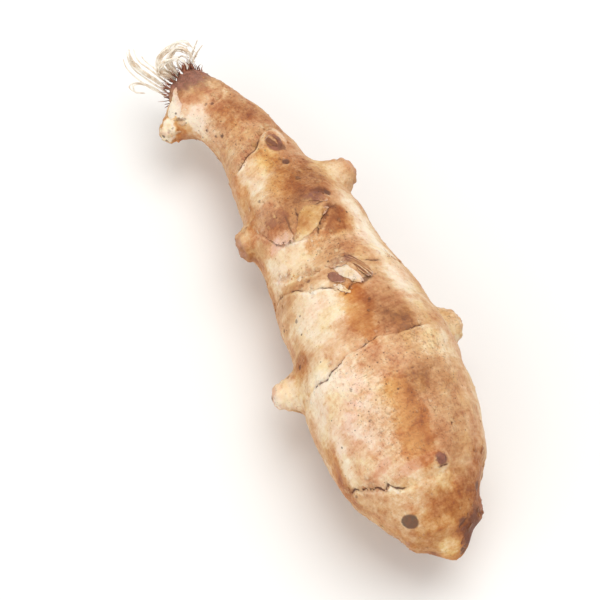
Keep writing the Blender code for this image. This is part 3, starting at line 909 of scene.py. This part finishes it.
def build_scurf(skin, material):
    """Many small scales on the brown scurf, each loose at one edge, as one piece."""
    chance = random.Random(SEED + 2)
    weight = skin.marks["scurf"] + 0.1 * skin.marks["crown"] + 0.2 * np.clip(skin.marks["tone"], 0, 1) + 0.006
    weight = weight * (skin.points[:, 2] > 1.5) * (skin.marks["spot"] < 0.1)
    order = np.cumsum(weight)
    shortest, longest = SCURF_HALF_LENGTHS
    points, faces, marks = [], [], {"tone": [], "rim": [], "pink": []}
    for _ in range(SCURF_SCALES):
        at = min(int(np.searchsorted(order, chance.random() * order[-1])), len(order) - 1)
        long = shortest + (longest - shortest) * chance.random() ** 2
        wide = long * chance.uniform(0.5, 0.9)
        theta = np.linspace(0, 2 * math.pi, SCURF_CORNERS + 1)[:-1]
        ripple = 1 + 0.22 * np.sin(3 * theta + chance.uniform(0, 6.28))
        outline = np.stack([long * np.cos(theta) * ripple, wide * np.sin(theta) * ripple], axis=1)
        turn, lift = chance.uniform(0, 360), chance.uniform(*SCURF_LIFTS)
        place = skin.share[at], skin.angle[at]
        more, more_faces, free, _ = scale_sheet(skin, *place, outline, turn, lift, 2, chance)
        faces += [tuple(corner + len(points) for corner in face) for face in more_faces]
        points += more
        marks["rim"] += [0.8 * value for value in free]
        marks["tone"] += [float(skin.marks["tone"][at]) + chance.uniform(-0.35, 0.45)] * len(more)
        marks["pink"] += [chance.choice((0.0, 0.0, 0.6))] * len(more)
    mesh_object("scurf_scales", points, faces, marks, material)


# ---------------------------------------------------------------- bristles and hairs

TUBE_SIDES = 5


def smooth_path(knots, steps):
    """Points in even steps on a smooth curve through the knots."""
    knots = np.array(knots, float)
    return np.array([blended(knots, share) for share in np.linspace(0, 1, steps)])


def tube(path, radii):
    """(points, faces) of a closed round tube along a path."""
    path = np.array(path, float)
    along = np.gradient(path, axis=0)
    along /= np.linalg.norm(along, axis=1)[:, None]
    side = np.cross(along[0], (0.31, 0.57, 0.76))
    points, faces = [path[0]], []
    for i, (middle, forward, radius) in enumerate(zip(path, along, radii)):
        side = side - forward * (side @ forward)
        side /= np.linalg.norm(side)
        other = np.cross(forward, side)
        for k in range(TUBE_SIDES):
            turn = 2 * math.pi * k / TUBE_SIDES
            points.append(middle + radius * (side * math.cos(turn) + other * math.sin(turn)))
        if i:
            low, high = 1 + (i - 1) * TUBE_SIDES, 1 + i * TUBE_SIDES
            for k in range(TUBE_SIDES):
                after = (k + 1) % TUBE_SIDES
                faces.append((low + k, low + after, high + after, high + k))
    points.append(path[-1])
    last = len(points) - 1 - TUBE_SIDES
    for k in range(TUBE_SIDES):
        after = (k + 1) % TUBE_SIDES
        faces.append((0, 1 + after, 1 + k))
        faces.append((last + k, last + after, len(points) - 1))
    return points, faces


class StemEnd:
    """Places round the stem end: millimetres outwards from the scar, sideways (-Y) and up."""

    def __init__(self, spine):
        self.middle = spine.points[0]
        self.axes = np.stack([-spine.along[0], spine.side[0], spine.up[0]])
        self.radius = spine.radius[0]

    def at(self, place):
        return self.middle + np.array(place) @ self.axes


def joined(tubes):
    points, faces = [], []
    for more_points, more_faces in tubes:
        faces += [tuple(corner + len(points) for corner in face) for face in more_faces]
        points += more_points
    return points, faces


def build_bristles(stem, skin, material):
    """Short stiff fibres that stand round the scar and lean outwards."""
    chance = random.Random(SEED + 3)
    tubes = []
    for _ in range(BRISTLES):
        turn = math.radians(chance.gauss(*BRISTLE_ANGLES))
        far = stem.radius * math.sqrt(chance.uniform(0.05, 1.25))
        back = -6.5 * max(0.0, far / stem.radius - 0.8) ** 0.7
        heading = np.array((0.0, math.cos(turn), math.sin(turn)))
        start = stem.at(np.array((back + 2.0, 0, 0)) + heading * far)
        base, normal, _, _ = skin.tree.find_nearest(Vector(start))
        lean = (heading * (0.25 + 0.55 * far / stem.radius) + (0.8, 0, 0)) @ stem.axes
        lean += 0.25 * np.array([chance.gauss(0, 1) for _ in range(3)]) + 0.5 * np.array(normal)
        lean /= np.linalg.norm(lean)
        length = chance.uniform(*BRISTLE_LENGTHS)
        bend = np.array([chance.gauss(0, 0.16) for _ in range(3)]) * length
        base = np.array(base)
        knots = [base - lean * 0.3, base + lean * length * 0.5, base + lean * length + bend]
        thick = chance.uniform(*BRISTLE_RADII)
        radii = [thick * (1 - 0.8 * k / (BRISTLE_STEPS - 1)) for k in range(BRISTLE_STEPS)]
        tubes.append(tube(smooth_path(knots, BRISTLE_STEPS), radii))
    points, faces = joined(tubes)
    mesh_object("stem_bristles", points, faces, {}, material)


def build_hairs(stem, material):
    """The fine dry roots at the stem end, in bundles that follow the paths of the table."""
    chance = random.Random(SEED + 4)
    tubes = []
    for count, spread, (thinnest, thickest), knots in HAIRS:
        for _ in range(count):
            swell = chance.uniform(0.82, 1.08)
            middle = np.mean(knots, axis=0)
            places = []
            for k, knot in enumerate(knots):
                loose = spread * (0.5 + 0.5 * k / (len(knots) - 1))
                drift = np.array([chance.gauss(0, loose) for _ in range(3)])
                grown = middle + (np.array(knot) - middle) * swell if k else np.array(knot)
                places.append(stem.at(grown + drift))
            steps = HAIR_STEPS * len(knots)
            path = smooth_path(places, steps)[: int(steps * chance.uniform(0.7, 1.0))]
            thick = chance.uniform(thinnest, thickest)
            tubes.append(tube(path, [thick * (1 - 0.5 * k / len(path)) for k in range(len(path))]))
    points, faces = joined(tubes)
    mesh_object("root_hairs", points, faces, {}, material)


# ---------------------------------------------------------------- materials


class Graph:
    """Short calls that add shader nodes to a material."""

    def __init__(self, name):
        self.material = bpy.data.materials.new(name)
        self.material.use_nodes = True
        self.nodes = self.material.node_tree.nodes
        self.links = self.material.node_tree.links
        self.shader = self.nodes["Principled BSDF"]
        self.place = self.nodes.new("ShaderNodeTexCoord").outputs["Object"]

    def put(self, socket, value):
        if isinstance(value, bpy.types.NodeSocket):
            self.links.new(value, socket)
        else:
            socket.default_value = value

    def surface(self, **values):
        """Sets the shader's own sockets, named with _ for each space."""
        for name, value in values.items():
            self.put(self.shader.inputs[name.replace("_", " ")], value)

    def node(self, kind, inputs, **settings):
        """A new node with these settings and inputs."""
        node = self.nodes.new("ShaderNode" + kind)
        for name, value in settings.items():
            setattr(node, name, value)
        for name, value in inputs.items():
            self.put(node.inputs[name], value)
        return node

    def mark(self, name):
        return self.node("Attribute", {}, attribute_name=name).outputs["Fac"]

    def scaled(self, size, stretch=(1, 1, 1)):
        """The place on the object in steps of this size, longer along an axis where stretch is above 1."""
        scale = [1 / (size * MM * s) for s in stretch]
        return self.node("Mapping", {"Vector": self.place, "Scale": scale}).outputs["Vector"]

    def noise(self, size, detail, rough=0.55, stretch=(1, 1, 1), warp=0.0):
        """Noise with features of this size. stretch above 1 makes them longer along that axis."""
        place = self.scaled(size, stretch)
        inputs = {"Vector": place, "Scale": 1.0, "Detail": detail, "Roughness": rough, "Distortion": warp}
        return self.node("TexNoise", inputs).outputs["Fac"]

    def cells(self, size):
        """(distance to the nearest of scattered points, a random number for each of them)."""
        node = self.node("TexVoronoi", {"Vector": self.scaled(size), "Scale": 1.0})
        split = self.node("SeparateColor", {"Color": node.outputs["Color"]})
        return node.outputs["Distance"], split.outputs["Red"]

    def maths(self, operation, *values):
        node = self.node("Math", {}, operation=operation)
        for socket, value in zip(node.inputs, values):
            self.put(socket, value)
        return node.outputs[0]

    def step(self, value, low, high, smooth=True, to=(0.0, 1.0)):
        """0 at low and 1 at high, or the two values of to, with a smooth or a straight change between."""
        inputs = {"Value": value, "From Min": low, "From Max": high, "To Min": to[0], "To Max": to[1]}
        change = "SMOOTHSTEP" if smooth else "LINEAR"
        return self.node("MapRange", inputs, interpolation_type=change).outputs["Result"]

    def ramp(self, value, stops):
        """The colour at a value from 0 to 1 between (place, colour) stops."""
        node = self.node("ValToRGB", {"Fac": value})
        first, second = node.color_ramp.elements
        for element, (place, colour) in zip((first, second), (stops[0], stops[-1])):
            element.position, element.color = place, colour
        for place, colour in stops[1:-1]:
            node.color_ramp.elements.new(place).color = colour
        return node.outputs["Color"]

    def mix(self, factor, first, second, blend="MIX"):
        inputs = {"Factor": factor, "A": first, "B": second}
        return self.node("Mix", inputs, data_type="RGBA", blend_type=blend).outputs["Result"]

    def cover(self, colour, where, most, new, blend="MIX"):
        """The colour with a new one over it: none of it at 0, and this much at 1."""
        return self.mix(self.maths("MULTIPLY", where, most), colour, new, blend)

    def bump(self, height, distance, strength, below=None):
        """A normal with this relief, and with the relief of the one below where there is one."""
        inputs = {"Height": height, "Distance": distance * MM, "Strength": strength}
        if below is not None:
            inputs["Normal"] = below
        return self.node("Bump", inputs).outputs["Normal"]


# The skin's tones from the palest to the darkest, the tints that its stains multiply it by, and the colours
# of its marks, of its painted shadow and of the fibres. A pair is mixed in a mottle.
TONES = (
    (0.00, srgb(246, 230, 206)),
    (0.22, srgb(234, 207, 170)),
    (0.42, srgb(217, 175, 130)),
    (0.62, srgb(196, 144, 97)),
    (0.80, srgb(170, 114, 69)),
    (1.00, srgb(126, 78, 48)),
)
BLUSH_TINT = (0.97, 0.88, 0.87, 1.0)
STRAW_TINT = (0.98, 0.95, 0.80, 1.0)
RUST_TINT = (0.86, 0.63, 0.36, 1.0)
YELLOW_TINT = (0.98, 0.84, 0.50, 1.0)
PINK_TINT = (0.90, 0.70, 0.68, 1.0)
PURPLE = (srgb(98, 54, 50), srgb(156, 104, 88))
SCURF = (srgb(126, 82, 58), srgb(182, 130, 94))
BUD_END = (srgb(164, 112, 92), srgb(222, 174, 150))
EYE = (srgb(78, 40, 36), srgb(150, 94, 74))
CROWN = (srgb(92, 54, 50), srgb(168, 116, 98))
RIM = srgb(236, 194, 172)
SPECK = srgb(84, 52, 36)
CRACK_AND_SHADOW = srgb(84, 42, 26)
SPOT = (srgb(62, 36, 30), srgb(110, 70, 54))
ROOTLET = (srgb(226, 204, 178), srgb(253, 247, 234))
ROOTLET_STAIN = srgb(196, 152, 120)
BRISTLE = (srgb(96, 50, 40), srgb(176, 112, 84))


SKIN_SHADER = {
    "Specular_IOR_Level": 0.38,
    "Subsurface_Weight": 0.12,
    "Subsurface_Radius": (0.9, 0.45, 0.2),
    "Subsurface_Scale": 0.002,
}
SKIN_ROUGHNESS = (0.42, 0.64)
FIBRE_BUMP = 0.6


def skin_tone(g, fine, middle):
    """The skin's own colour between cream and brown, before its stains and marks."""
    broad = g.noise(11.0, 3, 0.6, warp=0.6)
    fibres = g.noise(0.5, 3, 0.6, stretch=(1, 9, 9))
    tone = g.mark("tone")
    for value, weight in ((broad, 0.9), (middle, 1.3), (fine, 1.0), (fibres, 0.6)):
        tone = g.maths("ADD", tone, g.maths("MULTIPLY_ADD", value, weight, -0.5 * weight))
    colour = g.ramp(g.step(tone, -1.0, 1.2, smooth=False), TONES)
    colour = g.mix(g.step(g.noise(6.0, 4, 0.6), 0.44, 0.62), colour, BLUSH_TINT, "MULTIPLY")
    return g.mix(g.step(g.noise(7.0, 4, 0.6, warp=0.5), 0.48, 0.66), colour, STRAW_TINT, "MULTIPLY")


def skin_stains(g, colour, fine, middle, ragged):
    """The stains tint the skin under them, and the marks cover it. Each mark's colour is itself mottled."""
    for name, tint, most in (
        ("yellow", YELLOW_TINT, 0.85),
        ("rust", RUST_TINT, 0.95),
        ("pink", PINK_TINT, 0.90),
    ):
        inside = g.step(g.maths("ADD", g.mark(name), ragged), 0.05, 1.0)
        colour = g.cover(colour, inside, most, tint, "MULTIPLY")
    mottle = g.step(g.maths("ADD", fine, middle), 0.75, 1.2)
    for name, shades, low, high, most in (
        ("scurf", SCURF, 0.45, 1.25, 0.60),
        ("purple", PURPLE, 0.15, 1.00, 0.80),
        ("bud", BUD_END, 0.25, 1.00, 0.80),
        ("eye", EYE, 0.20, 0.85, 0.90),
        ("crown", CROWN, 0.10, 1.05, 0.95),
    ):
        inside = g.step(g.maths("ADD", g.mark(name), ragged), low, high)
        colour = g.cover(colour, inside, most, g.mix(mottle, *shades))
    return colour


def dust(g, colour, ragged):
    """Brown grime in fine patches, thicker where the skin is dusty."""
    grime = g.noise(0.55, 3, 0.7)
    dusty = g.mark("specks")
    thick = g.maths("MULTIPLY_ADD", dusty, 0.10, g.maths("MULTIPLY_ADD", ragged, 0.10, grime))
    return g.cover(colour, g.step(thick, 0.58, 0.74), 0.40, SCURF[0])


# For each size of speck: how far apart they are, their radius as a share of that, how many of the places hold
# one on plain skin, how many more where it is dusty, and how dark they are.
SPECK_SIZES = (
    (0.7, 0.24, 0.03, 0.50, 0.50),
    (1.3, 0.17, 0.06, 0.50, 0.70),
    (3.4, 0.10, 0.16, 0.45, 0.80),
)


def specks(g, colour):
    """Fine dark specks, thick where the skin is dusty, and a few bigger ones everywhere."""
    dusty = g.mark("specks")
    for size, radius, base, more, most in SPECK_SIZES:
        far, chance = g.cells(size)
        there = g.maths("LESS_THAN", chance, g.maths("MULTIPLY_ADD", dusty, more, base))
        dot = g.maths("MULTIPLY", g.step(far, radius, 0.5 * radius), there)
        colour = g.cover(colour, dot, most, SPECK)
    return colour


def skin_cracks(g, colour):
    """Cracks are dark, and brown close beside."""
    thin = g.maths("MULTIPLY_ADD", g.noise(0.6, 3), 0.36, -0.18)
    near = g.maths("ADD", g.mark("crack"), thin)
    colour = g.cover(colour, g.step(near, 0.35, 0.95), 0.35, SCURF[0])
    return g.cover(colour, g.step(near, 0.74, 0.95), 0.85, CRACK_AND_SHADOW)


def skin_material():
    g = Graph("tuber_skin")
    middle = g.noise(3.0, 4, 0.62, warp=0.4)
    fine = g.noise(0.9, 5, 0.68)
    grain = g.noise(0.22, 2, 0.6)
    ragged = g.maths("MULTIPLY_ADD", fine, 1.1, g.maths("MULTIPLY_ADD", middle, 0.9, -1.0))
    colour = skin_tone(g, fine, middle)
    colour = skin_stains(g, colour, fine, middle, ragged)
    colour = dust(g, colour, ragged)
    colour = specks(g, colour)
    colour = skin_cracks(g, colour)
    mottle = g.step(g.maths("ADD", fine, middle), 0.8, 1.2)
    # The "dark" mark also paints shadow in the eyes' moats and beside raised scale edges, in crack and scurf
    # browns.
    for name, shades, wander, most in (("spot", SPOT, 0.25, 0.85), ("dark", (CRACK_AND_SHADOW, SCURF[0]), 0.8, 0.75)):
        inside = g.step(g.maths("MULTIPLY_ADD", ragged, wander, g.mark(name)), 0.2, 0.8)
        colour = g.cover(colour, inside, most, g.mix(mottle, *shades))
    rim = g.step(g.maths("MULTIPLY_ADD", ragged, 0.15, g.mark("rim")), 0.74, 0.96)
    colour = g.cover(colour, rim, 0.55, RIM)
    g.surface(Base_Color=colour, Roughness=g.step(fine, 0.2, 0.8, smooth=False, to=SKIN_ROUGHNESS))
    g.surface(**SKIN_SHADER)
    creases = g.noise(0.6, 3, 0.6, stretch=(1, 6, 6))
    normal = g.bump(creases, 0.25, 0.5)
    normal = g.bump(fine, 0.30, 0.6, normal)
    normal = g.bump(grain, 0.08, 0.5, normal)
    g.surface(Normal=normal)
    return g.material


def fibre(g, colour, roughness, grain, depth):
    """The material of a dry fibre with this colour, and with grain this fine and deep."""
    g.surface(Base_Color=colour, Roughness=roughness, Normal=g.bump(g.noise(grain, 2), depth, FIBRE_BUMP))
    return g.material


def rootlet_material():
    g = Graph("rootlet")
    shade = g.noise(2.0, 3, 0.6)
    colour = g.mix(g.step(shade, 0.30, 0.60), *ROOTLET)
    colour = g.mix(g.step(g.noise(1.0, 3), 0.66, 0.76), colour, ROOTLET_STAIN)
    return fibre(g, colour, 0.6, 0.3, 0.06)


def bristle_material():
    g = Graph("bristle")
    colour = g.mix(g.step(g.noise(1.2, 3, 0.6), 0.35, 0.65), *BRISTLE)
    return fibre(g, colour, 0.7, 0.25, 0.05)


def floor_material():
    g = Graph("studio_floor")
    g.surface(Base_Color=FLOOR_COLOUR, Roughness=0.7)
    return g.material


# ---------------------------------------------------------------- the studio

# The camera looks at the tuber from the tip's side, from well above. It first aims at CAMERA_LEVEL_TARGET,
# and is then turned to aim at the tuber's middle, which keeps its roll.
CAMERA_AZIMUTH = 62.0
CAMERA_ELEVATION = 58.0
CAMERA_DISTANCE = 580.0
CAMERA_LENS = 153.5
CAMERA_LEVEL_TARGET = (-47.70, -13.76, 0.0)
CAMERA_TURN = (0.05705, -0.04744)  # the new aim's slope to the right and up

# The studio, in metres and watts. Each light: name, direction from the object, distance, size, power and
# colour.
FLOOR_SIZE = 6.0
FLOOR_COLOUR = (0.90, 0.90, 0.89, 1.0)
WORLD_COLOUR = (1.0, 0.99, 0.97, 1.0)
WORLD_STRENGTH = 0.56
LIGHTS = (
    ("key", (-0.10, 0.22, 0.92), 0.9, 0.80, 5.6, (1.0, 0.98, 0.96)),
    ("fill", (0.20, -0.75, 0.62), 1.0, 0.70, 2.4, (1.0, 0.98, 0.95)),
)


def build_camera():
    data = bpy.data.cameras.new("camera")
    data.lens = CAMERA_LENS
    data.clip_start = 0.01
    data.clip_end = 20
    camera = add_object("camera", data)
    turn, rise = math.radians(CAMERA_AZIMUTH), math.radians(CAMERA_ELEVATION)
    back = Vector((math.sin(turn) * math.cos(rise), -math.cos(turn) * math.cos(rise), math.sin(rise)))
    camera.location = (Vector(CAMERA_LEVEL_TARGET) + back * CAMERA_DISTANCE) * MM
    level = (-back).to_track_quat("-Z", "Y")
    right, up = level @ Vector((1, 0, 0)), level @ Vector((0, 1, 0))
    aim = (right * CAMERA_TURN[0] + up * CAMERA_TURN[1] - back).normalized()
    camera.rotation_mode = "QUATERNION"
    camera.rotation_quaternion = (-back).rotation_difference(aim) @ level
    bpy.context.scene.camera = camera


def add_light(name, towards, distance, size, power, colour):
    """A soft square light that faces the object."""
    data = bpy.data.lights.new(name, "AREA")
    data.shape = "SQUARE"
    data.size = size
    data.energy = power
    data.color = colour
    light = add_object(name, data)
    direction = Vector(towards).normalized()
    light.location = direction * distance
    light.rotation_mode = "QUATERNION"
    light.rotation_quaternion = direction.to_track_quat("Z", "Y")


def build_studio():
    bpy.ops.mesh.primitive_plane_add(size=FLOOR_SIZE, location=(0, 0, 0))
    floor = bpy.context.object
    floor.name = "studio_floor"
    floor.data.materials.append(floor_material())
    world = bpy.data.worlds.new("studio")
    bpy.context.scene.world = world
    world.use_nodes = True
    background = world.node_tree.nodes["Background"]
    background.inputs["Color"].default_value = WORLD_COLOUR
    background.inputs["Strength"].default_value = WORLD_STRENGTH
    for light in LIGHTS:
        add_light(*light)
    bpy.context.scene.view_settings.view_transform = "Standard"


def main():
    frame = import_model()
    build_studio()
    build_camera()

    spine = Spine()
    skin_look = skin_material()
    skin_object, skin = build_skin(frame["nodes"]["tuber"], spine, skin_look)
    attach(skin_object, "root")
    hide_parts("tuber")
    build_scales(skin, skin_look)
    build_scurf(skin, skin_look)

    stem = StemEnd(spine)
    rootlets = rootlet_material()
    build_bristles(stem, skin, bristle_material())
    build_hairs(stem, rootlets)
    for name, node in frame["nodes"].items():
        if name.startswith("rootlet"):
            node.data.materials.clear()
            node.data.materials.append(rootlets)
            node.data.shade_smooth()


main()
